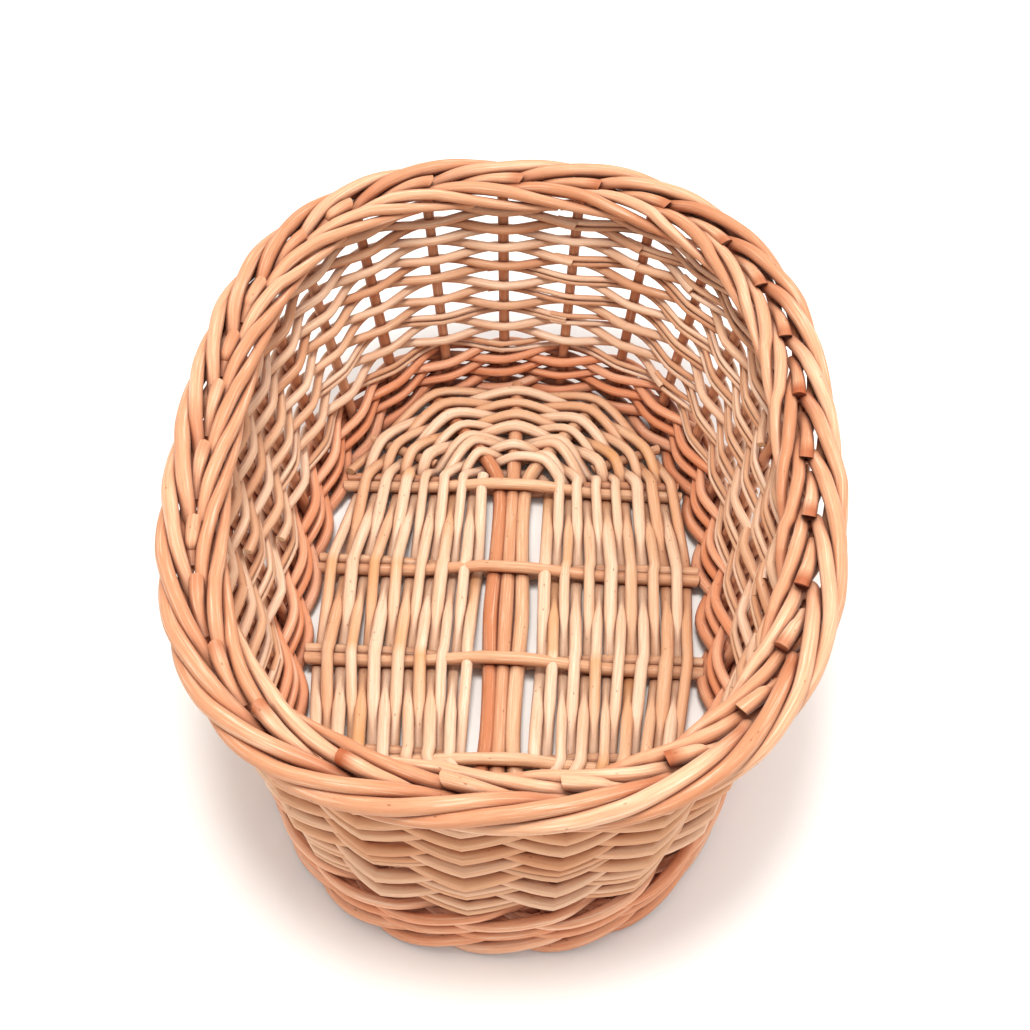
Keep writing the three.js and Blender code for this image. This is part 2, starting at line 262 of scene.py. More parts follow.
def addNode(tree, kind, settings=None, inputs=None, stops=()):
    node = tree.nodes.new("ShaderNode" + kind)
    for key, value in (settings or {}).items():
        setattr(node, key, value)
    for key, value in (inputs or {}).items():
        if isinstance(value, bpy.types.Node):
            value = value.outputs[0]
        if isinstance(value, bpy.types.NodeSocket):
            tree.links.new(value, node.inputs[key])
        else:
            node.inputs[key].default_value = toLinear(value) if isinstance(value, str) else value
    for i, (place, value) in enumerate(stops):
        elements = node.color_ramp.elements
        stop = elements[i] if i < len(elements) else elements.new(place)
        stop.position = place
        stop.color = toLinear(value) if isinstance(value, str) else (value, value, value, 1)
    return node


# Patterns of the skin, with their turns per millimetre across and along the rod
willowPatterns = {
    # patches where the skin dried unevenly, about 8 mm wide and 45 mm long
    "blotch": ("TexNoise", 0.12, 0.022, {"Detail": 2, "Roughness": 0.55}),
    # streaks of bast, 0.9 mm wide and 29 mm long
    "streak": ("TexNoise", 1.1, 0.035, {"Detail": 4, "Roughness": 0.6}),
    # fibres, 0.2 mm wide and 6 mm long, coarser than the real ones so that they show
    "grain": ("TexNoise", 5.5, 0.16, {"Detail": 3, "Roughness": 0.6}),
    # cells of 3 by 6 mm, some of which hold a bud scar
    "speck": ("TexVoronoi", 0.3, 0.16, {}),
}
willowFinish = {
    "seedShift": 4000,  # millimetres between the first and the last rod's part of the patterns
    "toneWander": 0.5,
    "streaks": [(0.45, 0.0), (0.7, 0.6)],
    "paleStreaks": [(0.3, 0.45), (0.45, 0.0)],
    "paleColour": "#FBEBD3",
    "fibres": [(0.5, 0.0), (0.78, 0.35)],
    "speckSize": [(0.07, 1.0), (0.14, 0.0)],
    "speckShare": [(0.72, 0.0), (0.76, 1.0)],  # a scar in about one cell of four
    "speckStrength": 0.5,
    "speckColour": "#7A4526",
    "cutColours": ("#F2DDB8", "#CFA273"),  # pale wood and darker pith
    "stainAndShadeGain": 1.6,
    "stainAndShadeStart": 0.2,
    "hollows": [(0.004, 0.8), (0.016, 0.55)],  # reach in metres and strength of the painted shade
    "hollowShare": (0.1, 0.8),  # from full painted shade, closed in, to none, in the open
    "hollowSamples": 4,
    "glossSpread": (-0.08, 0.12),  # added to the roughness, from smooth to rough streaks
    "streakRelief": 0.5,
    "relief": {"Strength": 0.35, "Distance": 0.0004},
    "pits": {"Strength": 0.5, "Distance": 0.0004},
    "skin": {"IOR": 1.46, "Specular IOR Level": 0.38, "Sheen Weight": 0.04, "Sheen Roughness": 0.5},
}


# Willow: tones differ from rod to rod, with streaks, fibres, bud scars, cut ends, stains and painted shade

def willow(name, tones, blush, deep, stainAndShadeColour, roughness):
    finish = willowFinish
    material = bpy.data.materials.new(name)
    material.use_nodes = True
    tree = material.node_tree
    tree.nodes.clear()
    multiply, multiplyAdd = {"operation": "MULTIPLY"}, {"operation": "MULTIPLY_ADD"}
    colours = {"data_type": "RGBA"}

    rodData = (("rodCoord", "Vector"), ("rodSeed", "Fac"), ("cutEnd", "Fac"), ("rodStainAndShade", "Fac"))
    coord, seed, cut, stainAndShade = (
        addNode(tree, "Attribute", {"attribute_name": label}).outputs[output] for label, output in rodData
    )
    shift = addNode(tree, "Math", multiply, {0: seed, 1: finish["seedShift"]})
    offset = addNode(tree, "CombineXYZ", {}, {"Z": shift})
    place = addNode(tree, "VectorMath", {"operation": "ADD"}, {0: coord, 1: offset})
    patterns = []
    for kind, across, along, detail in willowPatterns.values():
        scaled = addNode(tree, "VectorMath", multiply, {0: place, 1: (across, across, along)})
        patterns.append(addNode(tree, kind, {}, {"Vector": scaled, "Scale": 1, **detail}))
    blotch, streak, grain, cell = patterns

    toneWander = finish["toneWander"]
    wander = addNode(tree, "Math", multiplyAdd, {0: blotch, 1: toneWander, 2: -toneWander / 2})
    tone = addNode(tree, "Math", {"operation": "ADD", "use_clamp": True}, {0: wander, 1: seed})
    toneStops = [(i / (len(tones) - 1), shade) for i, shade in enumerate(tones)]
    colour = addNode(tree, "ValToRGB", {}, {"Fac": tone}, toneStops)

    streaks = addNode(tree, "ValToRGB", {}, {"Fac": streak}, finish["streaks"])
    paleStreaks = addNode(tree, "ValToRGB", {}, {"Fac": streak}, finish["paleStreaks"])
    fibres = addNode(tree, "ValToRGB", {}, {"Fac": grain}, finish["fibres"])
    dots = addNode(tree, "ValToRGB", {}, {"Fac": cell.outputs["Distance"]}, finish["speckSize"])
    draw = addNode(tree, "SeparateColor", {}, {"Color": cell.outputs["Color"]})
    chosen = addNode(tree, "ValToRGB", {}, {"Fac": draw}, finish["speckShare"])
    scar = addNode(tree, "Math", multiply, {0: dots, 1: chosen})
    faintScar = addNode(tree, "Math", multiply, {0: scar, 1: finish["speckStrength"]})
    wood, pith = finish["cutColours"]
    cutWood = addNode(tree, "Mix", colours, {0: grain, 6: wood, 7: pith}).outputs[2]
    # stains and painted shade, mottled by the blotches
    patch = addNode(tree, "Math", multiplyAdd, {0: blotch, 1: finish["stainAndShadeGain"], 2: finish["stainAndShadeStart"]})
    stainedAndShaded = addNode(tree, "Math", {**multiply, "use_clamp": True}, {0: stainAndShade, 1: patch})
    for factor, layer in (
        (streaks, blush), (paleStreaks, finish["paleColour"]), (fibres, deep),
        (faintScar, finish["speckColour"]), (cut, cutWood), (stainedAndShaded, stainAndShadeColour),
    ):
        colour = addNode(tree, "Mix", colours, {0: factor, 6: colour, 7: layer}).outputs[2]

    # painted shade in the hollows between rods, darkened towards the deep colour where the rods close in
    tight, loose = finish["hollowShare"]
    for reach, strength in finish["hollows"]:
        samples = {"samples": finish["hollowSamples"]}
        openness = addNode(tree, "AmbientOcclusion", samples, {"Distance": reach}).outputs["AO"]
        paintedShade = addNode(tree, "ValToRGB", {}, {"Fac": openness}, [(tight, strength), (loose, 0.0)])
        darken = {**colours, "blend_type": "MULTIPLY"}
        colour = addNode(tree, "Mix", darken, {0: paintedShade, 6: colour, 7: deep}).outputs[2]

    smooth, rough = (roughness + spread for spread in finish["glossSpread"])
    gloss = addNode(tree, "MapRange", {}, {"Value": streak, "To Min": smooth, "To Max": rough})
    height = addNode(tree, "Math", multiplyAdd, {0: streak, 1: finish["streakRelief"], 2: grain})
    skin = addNode(tree, "Bump", {}, {"Height": height, **finish["relief"]})
    pits = addNode(tree, "Bump", {"invert": True}, {"Height": scar, "Normal": skin, **finish["pits"]})
    look = {"Base Color": colour, "Roughness": gloss, "Normal": pits, **finish["skin"]}
    shader = addNode(tree, "BsdfPrincipled", {}, look)
    addNode(tree, "OutputMaterial", {}, {"Surface": shader})
    return material


# Steamed before it was stripped: warm tan with a dull sheen, browner at the cut ends, partly as painted
# shade
stakeWillow = willow(
    "Steamed willow, stripped",
    ["#C98A63", "#D39872", "#DDA680", "#E6B793"], "#C47C54", "#94502E", "#A9582F", 0.54,
)
# Peeled thin rods: cream to light tan, a little shinier
paleWillow = willow(
    "Peeled willow, thin rods",
    ["#CF9A74", "#DDB18D", "#E8C4A4", "#F0D5BC"], "#D49670", "#9C5534", "#DE9A68", 0.47,
)
# Peeled base rods: the palest, with golden stretches
floorWillow = willow(
    "Peeled willow, base rods",
    ["#E0B18A", "#EBC9A8", "#F2D8BC", "#E9C09A"], "#DF9F70", "#9C5534", "#D6944E", 0.45,
)
# Boiled in the bark, which dyes the wood: redder than the rest
redWillow = willow(
    "Buff willow, boiled in the bark",
    ["#DE9266", "#E6A078", "#EBAD87", "#F0BA98"], "#D07A4E", "#96502E", "#A9582F", 0.5,
)
# Sticks scraped after boiling: buff and smooth, each with its own tone
stickWillow = willow(
    "Buff willow stick, scraped",
    ["#CC8258", "#D89E76", "#E2B28A", "#E9C29C"], "#C98560", "#93522F", "#A9582F", 0.46,
)
print("finishes made")


# Floor: cross sticks in pairs on three centre sticks, and two weavers that chase each other round

floorWeave = {
    "level": 9.2,
    "rounds": 15,
    "radius": 2.85,
    "flat": 0.84,  # the rods press one another a little flat
    "stationsPerRod": 34,  # crossings in one rod, at least
    "pairs": 4,
    "pairSpacing": 54,
    "pairHalfGap": 2.8,
    "firstX": {1: 16.4, -1: 14.8},  # where the first round passes, right and left
    "firstSplayX": 11,
    "firstSplayDrop": 0.4,
    "firstBeyondPair": 9.6,
    "firstShoulder": 6,
    "angles": [90, 67, 41],  # of a fan's spokes, from the middle outwards
    "groupedUntil": 0.13,  # share of the fan in which the centre sticks are taken as one
    "spokesFrom": 0.38,  # share of the fan at which the short spokes join in
    "inset": 8.2,  # from the floor's edge to the last round
    "lift": 4.9,  # over or under the sticks
    "join": 8,  # round at which the outer weavers take over
    "drift": 0.9,  # sideways, at each pair
    "tension": 0.42,
    "taper": (1.08, 0.9),
    "thickness": (0.95, 1.06),
    "wander": [(9, 0.4), (9, 0.15), (7, 0.14)],  # spacing and size: sideways, up and down, radius
    "goldenChance": 0.1,
    "goldenStrength": 0.55,
    "steps": 7,
    "sides": 10,
}
sticks = {
    "inset": 6.5,  # from the floor's edge to the tips
    "centreRadius": 3.65,
    "centreSpacing": 7.4,
    "centreSplay": 5.4,  # past the last pair, where the centre sticks start to spread
    "centreCurve": (12, 0.3),  # steps and tension
    "centreTones": {"left": 0.05, "middle": 0.45, "right": 0.85},
    "crossRadius": 2.9,
    "crossLift": 6.2,
    "crossTip": 2.6,  # beside the stick, where its length is measured, so the tip stays inside the edge
    "crossHalfway": (0.5, 0.15),  # share of the half length, and of the lift there
    "crossShoulder": (1, 0.93),  # past the centre sticks, and share of the lift there
    "crossCurve": (10, 0.4),
    "crossTones": [(0.9, 0.7), (0.7, 0.8), (0.55, 0.75), (0.85, 0.3)],  # over and under, near to far
    "spokeStart": 0.43,  # share of the way from the fan's root to its edge
    "spokeRadius": 2.6,
    "spokeSteps": 8,
    "spokeSides": 12,
    "centreWander": (12, 0.25),  # spacing and size
    "crossWander": (10, 0.25),
    "radiusWander": (6, 0.1),
    "seeds": {"centreBend": 40, "centreRadius": 50, "crossRadius": 60, "crossBend": 90},
    "sides": 14,
}
lastPairY = (floorWeave["pairs"] - 1) / 2 * floorWeave["pairSpacing"]


def fanEnd(spoke, inset):
    angle = math.radians(floorWeave["angles"][spoke])
    return np.array(ovalPoint(basket["floorWidth"] / 2 - inset, basket["floorLength"] / 2 - inset, angle))


def fanSpot(spoke, part):
    rootY = lastPairY + floorWeave["firstBeyondPair"]
    root = np.array([
        (0, rootY),
        (floorWeave["firstSplayX"], rootY - floorWeave["firstSplayDrop"]),
        (floorWeave["firstX"][1], rootY - floorWeave["firstShoulder"]),
    ][spoke])
    return root + (fanEnd(spoke, floorWeave["inset"]) - root) * part


# Whether the first weaver goes over (1), under (-1) or past (0) a spoke of the fan

def fanSign(spoke, side, part):
    place = abs(spoke)
    if part < floorWeave["groupedUntil"]:
        return 0 if place == 2 else -side
    if part < floorWeave["spokesFrom"]:
        return 0 if place == 2 else -side * (-1 if place == 1 else 1)
    return -side * (1 if place == 1 else -1)


def floorStations():
    halfGap = floorWeave["pairHalfGap"]
    stations = []
    for side in (1, -1):
        for pair in range(floorWeave["pairs"]):
            y = side * (pair * floorWeave["pairSpacing"] - lastPairY)
            over = side * (1 if pair % 2 == 0 else -1)
            stations += [("pair", side, y + side * shift, over) for shift in (-halfGap, halfGap)]
        stations += [("fan", side, spoke, 0) for spoke in (2, 1, 0, -1, -2)]
    return stations


def floorWeaverPoints(isSecond, firstRound, lastRound):
    stations = floorStations()
    level, drift = floorWeave["level"], floorWeave["drift"]
    lift = -floorWeave["lift"] if isSecond else floorWeave["lift"]
    last = floorWeave["rounds"] - 1
    points = []
    lastOver, sideways = 0, 0
    for step in range(len(stations) * floorWeave["rounds"]):
        turn = 2 * step / len(stations) - (1 if isSecond else 0)
        if not firstRound <= turn <= lastRound:
            continue
        part = turn / last
        kind, side, where, over = stations[step % len(stations)]
        if kind == "pair":
            first = floorWeave["firstX"][side]
            x = first + (floorEdgeX(where, floorWeave["inset"]) - first) * part
            if over != lastOver:
                sideways = dice.uniform(-drift, drift)
            lastOver = over
            points.append((side * x + sideways, where, level + over * lift))
        elif fanSign(where, side, part) != 0:
            x, y = fanSpot(abs(where), part)
            z = level + fanSign(where, side, part) * lift
            points.append((side * np.sign(where) * x, side * y, z))
    return np.array(points)


def addFloorWeave():
    last = floorWeave["rounds"] - 1
    join = floorWeave["join"]
    sideways, upwards, thicker = floorWeave["wander"]
    for name, isSecond, first, end in (
        ("first_inner", False, 0, join), ("first_outer", False, join, last),
        ("second_inner", True, 0, join), ("second_outer", True, join, last),
    ):
        points = floorWeaverPoints(isSecond, first, end)
        isUnder = points[:, 2] < floorWeave["level"]
        rods, start = [], 0
        while start < len(points) - 2:
            stop = min(start + floorWeave["stationsPerRod"], len(points) - 1)
            while stop < len(points) - 1 and not (isUnder[stop - 1] and isUnder[stop]):
                stop += 1  # on to where the rod can end out of sight, below a pair of sticks
            stretch = points[start:stop + 1]
            start = stop
            if len(stretch) < 3:
                continue
            seed = dice.random()
            wander = wanderSeed(seed)
            path = curveThrough(stretch, floorWeave["steps"], floorWeave["tension"])
            path[:, 0] += slowNoise(len(path), *sideways, wander)
            path[:, 2] += slowNoise(len(path), *upwards, wander + 1)
            taper = np.linspace(*floorWeave["taper"], len(path)) * dice.uniform(*floorWeave["thickness"])
            radii = floorWeave["radius"] * taper + slowNoise(len(path), *thicker, wander + 2)
            isGolden = np.random.default_rng(wander + 3).random(len(stretch)) < floorWeave["goldenChance"]
            stations = np.arange(len(path)) / floorWeave["steps"]
            stainAndShade = np.interp(stations, np.arange(len(stretch)), isGolden * floorWeave["goldenStrength"])
            sides, flat = floorWeave["sides"], floorWeave["flat"]
            rods.append(makeRod(path, radii, sides, seed=seed, stainAndShade=stainAndShade, flat=flat))
        addPiece("floorWeaver_" + name, rods, floorWillow, ["base_weaver_" + name])


def addCentreSticks():
    level, seeds = floorWeave["level"], sticks["seeds"]
    splay = lastPairY + sticks["centreSplay"]
    for place, label in ((-1, "left"), (0, "middle"), (1, "right")):
        tip = fanEnd(abs(place), sticks["inset"])
        x = place * sticks["centreSpacing"]
        half = [(place * tip[0], tip[1]), (x, splay), (x, 0)]
        points = [(x, -y, level) for x, y in half] + [(x, y, level) for x, y in reversed(half[:-1])]
        path = curveThrough(points, *sticks["centreCurve"])
        path[:, 0] += slowNoise(len(path), *sticks["centreWander"], seeds["centreBend"] + place)
        thicker = slowNoise(len(path), *sticks["radiusWander"], seeds["centreRadius"] + place)
        radii = sticks["centreRadius"] + thicker
        rod = makeRod(path, radii, sticks["sides"], seed=sticks["centreTones"][label])
        nodes = ["base_centre_stick_" + label]
        addPiece("centreStick_" + label, [rod], stickWillow, nodes)


def addCrossSticks():
    level, seeds = floorWeave["level"], sticks["seeds"]
    centreHalf = 1.5 * sticks["centreSpacing"]
    halfway, halfwayLift = sticks["crossHalfway"]
    shoulder, shoulderLift = sticks["crossShoulder"]
    for pair in range(floorWeave["pairs"]):
        for way, label in ((1, "over"), (-1, "under")):
            y = pair * floorWeave["pairSpacing"] - lastPairY - way * floorWeave["pairHalfGap"]
            tip = floorEdgeX(abs(y) + sticks["crossTip"], sticks["inset"])
            lift = way * sticks["crossLift"]
            half = [
                (tip, level), (tip * halfway, level + lift * halfwayLift),
                (centreHalf + shoulder, level + lift * shoulderLift), (0, level + lift),
            ]
            points = [(-x, y, z) for x, z in half] + [(x, y, z) for x, z in reversed(half[:-1])]
            path = curveThrough(points, *sticks["crossCurve"])
            number = pair * 2 + way
            path[:, 1] += slowNoise(len(path), *sticks["crossWander"], seeds["crossBend"] + number)
            thicker = slowNoise(len(path), *sticks["radiusWander"], seeds["crossRadius"] + number)
            radii = sticks["crossRadius"] + thicker
            tone = sticks["crossTones"][pair][0 if label == "over" else 1]
            rod = makeRod(path, radii, sticks["sides"], seed=tone)
            name = f"{pair + 1}_{label}"
            nodes = ["base_cross_stick_" + name]
            addPiece("crossStick_" + name, [rod], stickWillow, nodes)


def addSpokes():
    for endSign, endName in ((1, "far"), (-1, "near")):
        for sideSign, sideName in ((1, "right"), (-1, "left")):
            inner = fanSpot(2, sticks["spokeStart"])
            outer = fanEnd(2, sticks["inset"])
            spots = (inner, (inner + outer) / 2, outer)
            points = [(sideSign * x, endSign * y, floorWeave["level"]) for x, y in spots]
            path = curveThrough(points, sticks["spokeSteps"])
            rod = makeRod(path, sticks["spokeRadius"], sticks["spokeSides"], seed=dice.random())
            name = f"{endName}_{sideName}"
            addPiece("floorSpoke_" + name, [rod], stickWillow, ["base_spoke_" + name])


addCentreSticks()
addCrossSticks()
addSpokes()
print("sticks laid")
addFloorWeave()
print("floor woven")


# Wales: three rods, each of which passes behind one stake and in front of the next two

footWale = {"levels": [7.7], "rise": 4.4, "out": 5.6, "radius": 3.25, "sides": 12}
upsettWale = {"levels": [18.2, 26.8], "rise": 3.1, "out": 5.2, "radius": 2.4, "sides": 10}
waleWeave = {
    "outs": (-1, 1, 1),  # behind one stake and in front of two
    "rises": (0, -1, 1),  # low at the first of the two and high at the second
    "wander": (11, 0.12),  # spacing and size, for the radius
    "closing": 6,  # points over which the radius comes back to its first value
    "steps": 8,
}


def addWale(label, wale, material, nodeStart):
    steps, closing = waleWeave["steps"], waleWeave["closing"]
    for phase in range(3):
        rods = []
        for level in wale["levels"]:
            controls = []
            for stake in range(basket["stakes"]):
                place = (stake + phase) % 3
                out = waleWeave["outs"][place] * wale["out"]
                rise = waleWeave["rises"][place] * wale["rise"]
                controls.append((out, level + rise, stake))
            chordScale = (0, 0, basket["stakeSpacing"])
            controls = curveThrough(controls, steps, closed=True, chordScale=chordScale)
            path = wallPoints(np.arange(len(controls)) / steps, controls[:, 1], controls[:, 0])
            seed = dice.random()
            radii = wale["radius"] + slowNoise(len(path), *waleWeave["wander"], wanderSeed(seed))
            radii[-closing:] = np.linspace(radii[-closing], radii[0], closing)
            rod = makeRod(path, radii, wale["sides"], closed=True, seed=seed)
            rod["spots"][:, 2] = np.maximum(rod["spots"][:, 2], 0)  # worn flat where it stands
            rods.append(rod)
        addPiece(f"{label}_{phase + 1}", rods, material, [f"{nodeStart}_rod_{phase + 1}"])


addWale("footWale", footWale, redWillow, "foot_wale")
addWale("upsettWale", upsettWale, redWillow, "upsett_wale_1")
print("wales made")


# Wall: plain randing, on the right mostly with two thin rods at a time

sideWeave = {
    "start": 32.6,
    "end": 121.6,
    "pitch": 5.9,
    "lowerSpread": 0.04,  # the lower rows stand a little further apart
    "groups": 6,
    "joinStations": [5.5, 14, 24.5],  # where a rod ends and the next begins, in each round
    "joinSpread": 2,
    "joinOverlap": 0.35,
    "leastStations": 2,  # in one rod
    "rightStretch": (-3, 6),  # first and last stake of the right side
    "doubleChance": 0.2,
    "doubleChanceRight": 0.95,
    "doubleThickness": 0.62,
    "doubleGap": 0.25,
    "doubleTone": 0.17,
    "out": 0.92,  # the weavers hug the stakes a little
    "nearLength": 300,  # over which the weave turns from soft and thin to sharp and thick
    "farSoftness": 0.75,
    "nearSoftness": 0.22,
    "farRadius": 2.35,
    "nearRadius": 2.85,
    # strength of the tan painted shade on the weavers of the near side
    "nearPaintedShade": 0.45,
    "thickness": (0.92, 1.06),
    "wander": [(7, 0.4), (6, 0.3), (9, 0.09)],  # spacing and size: level, gap of a pair, radius
    "steps": 8,
    "sides": 8,
}


def between(far, near, nearness):
    return far + (near - far) * nearness


# First and last station of each rod in a stretch of the spiral

def weaverCuts(first, last):
    stakes = basket["stakes"]
    cuts = [first]
    for turn in range(first // stakes, last // stakes + 1):
        for station in sideWeave["joinStations"]:
            cut = round(turn * stakes + station + dice.uniform(-1, 1) * sideWeave["joinSpread"])
            if cuts[-1] + sideWeave["leastStations"] < cut < last - sideWeave["leastStations"]:
                cuts.append(cut)
    cuts.append(last)
    return zip(cuts[:-1], cuts[1:])


def weaverRods(start, end, spiralSteps):
    stakes = basket["stakes"]
    upwards, apart, thicker = sideWeave["wander"]
    stations = np.arange(start, end + sideWeave["joinOverlap"], 1 / sideWeave["steps"])
    climb = stations / spiralSteps
    climb = climb + sideWeave["lowerSpread"] * np.sin(math.pi * np.clip(climb, 0, 1))
    levels = sideWeave["start"] + climb * (sideWeave["end"] - sideWeave["start"])
    nearness = np.clip(0.5 - wallPoints(stations, levels, 0)[:, 1] / sideWeave["nearLength"], 0, 1)
    softness = between(sideWeave["farSoftness"], sideWeave["nearSoftness"], nearness ** 2)
    sharpBend = np.abs(np.mod(stations, 2) - 1) * 2 - 1
    outs = sharpBend * (1 - softness) + np.cos(math.pi * stations) * softness
    seed = dice.random()
    wander = wanderSeed(seed)
    levels = levels + slowNoise(len(stations), *upwards, wander)
    place = ((start + end) / 2 + stakes / 2) % stakes - stakes / 2
    isRight = sideWeave["rightStretch"][0] < place < sideWeave["rightStretch"][1]
    isDouble = dice.random() < sideWeave["doubleChanceRight" if isRight else "doubleChance"]
    thickness = (sideWeave["doubleThickness"] if isDouble else 1) * dice.uniform(*sideWeave["thickness"])
    radii = between(sideWeave["farRadius"], sideWeave["nearRadius"], nearness ** 3) * thickness
    reach = outs * (basket["stakeRadius"] + radii) * sideWeave["out"]
    gap = radii + sideWeave["doubleGap"] + slowNoise(len(stations), *apart, wander + 3)
    # painted shade, stronger towards the near side of the wall
    stainAndShade = sideWeave["nearPaintedShade"] * nearness ** 3
    rods = []
    for side in ((-1, 1) if isDouble else (0,)):
        path = wallPoints(stations, levels + side * gap, reach)
        thick = radii + slowNoise(len(path), *thicker, wander + 1 + side)
        tone = (seed + sideWeave["doubleTone"] * side) % 1
        rods.append(makeRod(path, thick, sideWeave["sides"], seed=tone, stainAndShade=stainAndShade))
    return rods


def addSideWeave():
    spiralSteps = int((sideWeave["end"] - sideWeave["start"]) / sideWeave["pitch"] * basket["stakes"])
    perGroup = spiralSteps / sideWeave["groups"]
    for group in range(sideWeave["groups"]):
        first, last = round(group * perGroup), round((group + 1) * perGroup) - 1
        rods = []
        for start, end in weaverCuts(first, last):
            rods += weaverRods(start, end, spiralSteps)
        nodes = [f"side_weaver_{group + 1}"]
        addPiece(f"sideWeaver_{group + 1}", rods, paleWillow, nodes)


addSideWeave()
print("wall woven")


# Stakes and border: each stake turns down at the rim and passes over and under its neighbours

border = {
    "path": [  # stakes along, outwards, up and radius
        (0.00, 0.0, -13.0, 2.75),
        (0.06, 1.6, -7.8, 2.90),
        (0.27, 2.7, -3.7, 3.05),
        (0.53, 4.1, -1.3, 3.10),
        (0.78, 5.4, -0.7, 3.15),
        (1.04, 7.0, -0.8, 3.15),
        (1.30, 8.8, -1.3, 3.15),
        (1.55, 10.2, -2.6, 3.15),
        (1.81, 10.7, -4.1, 3.10),
        (2.06, 10.8, -5.8, 3.10),
        (2.32, 10.3, -7.4, 3.10),
        (2.82, 8.1, -9.8, 3.05),
        (3.33, 4.6, -10.1, 3.05),
        (3.57, 2.1, -9.3, 3.05),
        (3.81, -0.9, -7.5, 3.05),
        (4.04, -3.8, -5.5, 3.00),
        (4.29, -4.6, -3.9, 2.95),
        (4.55, -5.9, -2.6, 2.95),
        (5.06, -8.8, -2.5, 2.85),
        (5.31, -10.3, -3.3, 2.75),
        (5.57, -11.1, -4.5, 2.65),
        (6.08, -11.5, -7.0, 2.40),
        (6.59, -10.4, -9.2, 2.15),
        (7.11, -8.6, -10.1, 1.90),
    ],
    "footStart": 4,
    "footEnd": 17,  # below the border's level
    "footPoints": 12,
    "facingLevel": 5,  # where a stake's first side looks straight outwards
    "endPoints": 6,  # these shift with the rod's length, in stakes
    "endShift": (-0.5, 0.1),
    "thickness": (0.95, 1.05),
    "pathWander": (12, 0.3),  # spacing and size
    "radiusWander": (8, 0.08),
    "kneeWearAndShade": [(0.05, 0.0), (0.2, 0.55), (0.45, 0.35), (0.8, 0.0)],  # stakes along and strength
    "kneeStrength": (0.2, 1.2),
    "wallBelow": -12,  # from here down a stake has one even painted shade
    "wallPaintedShade": 0.25,
    "slant": 0.4,
    "steps": 5,
    "sides": 12,
}
# The cut ends of the border's second pass, beside its forks. Four tables go by stake, round the rim.
secondPass = {
    "path": [  # the same four values
        (0.42, -0.2, -6.2, 2.4),
        (0.60, -0.6, -3.7, 2.65),
        (0.79, -1.2, -1.7, 2.85),
        (0.93, -1.9, -0.5, 3.0),
        (1.05, -2.5, 0.3, 3.05),
        (1.13, -2.9, 0.6, 3.05),
    ],
    "lower": [(0, 0.6), (1, 2.4), (6, 2.4), (8, 1.2), (17, 1.2), (19, 0), (26, 0), (27, 0.6)],
    "further": [(0, 0.8), (1, 1.3), (7, 1.3), (9, 0.6), (17, 0.6), (19, 0), (26, 0), (27, 0.8)],
    "shorter": [(0, 0), (1, -0.1), (8, -0.1), (9, 0.1), (17, 0.1), (19, 0), (27, 0)],
    # how strongly each cut end is browned, partly by its own wood and partly by painted shade
    "darker": [(0, 1), (1, 0.8), (8, 0.7), (9, 0.3), (17, 0.3), (19, 1), (27, 1)],
    "endShares": [0.4, 0.7, 0.9, 1],  # of a change in length, for the last points
    "sideShift": (-0.3, 0.3),
    "endShift": (-0.14, 0.03),
    "stainAndShadeStrength": (0.75, 1.15),
    "stainAndShadeStart": 1.2,
    "stainAndShadeLength": 6,
    "paleEnds": [22, 23, 25],  # stakes whose cut ends get neither stain nor painted shade
    "slant": (0.3, 0.9),
}
# The rim is rolled inwards and down along the near side
rimRoll = {
    "shares": [  # stake and share of the angle there
        (0, 0.35), (3, 0.3), (6.75, 0.3), (10, 0.1), (13.5, 0), (17.5, 0.05),
        (19.2, 0.4), (20.3, 1), (22.5, 0.85), (24.5, 1), (26, 0.7), (27, 0.35),
    ],
    "angle": 18,
    "pivot": (11, -5),  # out and up
    "startLength": 0.25,
    "shortens": 0.8,  # the inner ends, in stakes
    "shortensFrom": 5.1,
    "shortensOver": 2,
}


def rolled(stake, controls):
    along = controls[:, 0]
    share = np.interp(np.mod(stake - along, basket["stakes"]), *zip(*rimRoll["shares"]))
    share = share * np.clip(along / rimRoll["startLength"], 0, 1)
    angle = np.radians(rimRoll["angle"]) * share
    pivotOut, pivotUp = rimRoll["pivot"]
    out, up = controls[:, 1] - pivotOut, controls[:, 2] - pivotUp
    ending = np.clip((along - rimRoll["shortensFrom"]) / rimRoll["shortensOver"], 0, 1)
    turned = controls.copy()
    turned[:, 0] -= rimRoll["shortens"] * share * ending
    turned[:, 1] = pivotOut + out * np.cos(angle) - up * np.sin(angle)
    turned[:, 2] = pivotUp + out * np.sin(angle) + up * np.cos(angle)
    return turned


def borderCurve(controls):
    return curveThrough(controls, border["steps"], chordScale=(basket["stakeSpacing"], 1, 1))


def borderPath(stake, controls):
    return wallPoints(stake - controls[:, 0], basket["borderLevel"] + controls[:, 2], controls[:, 1])


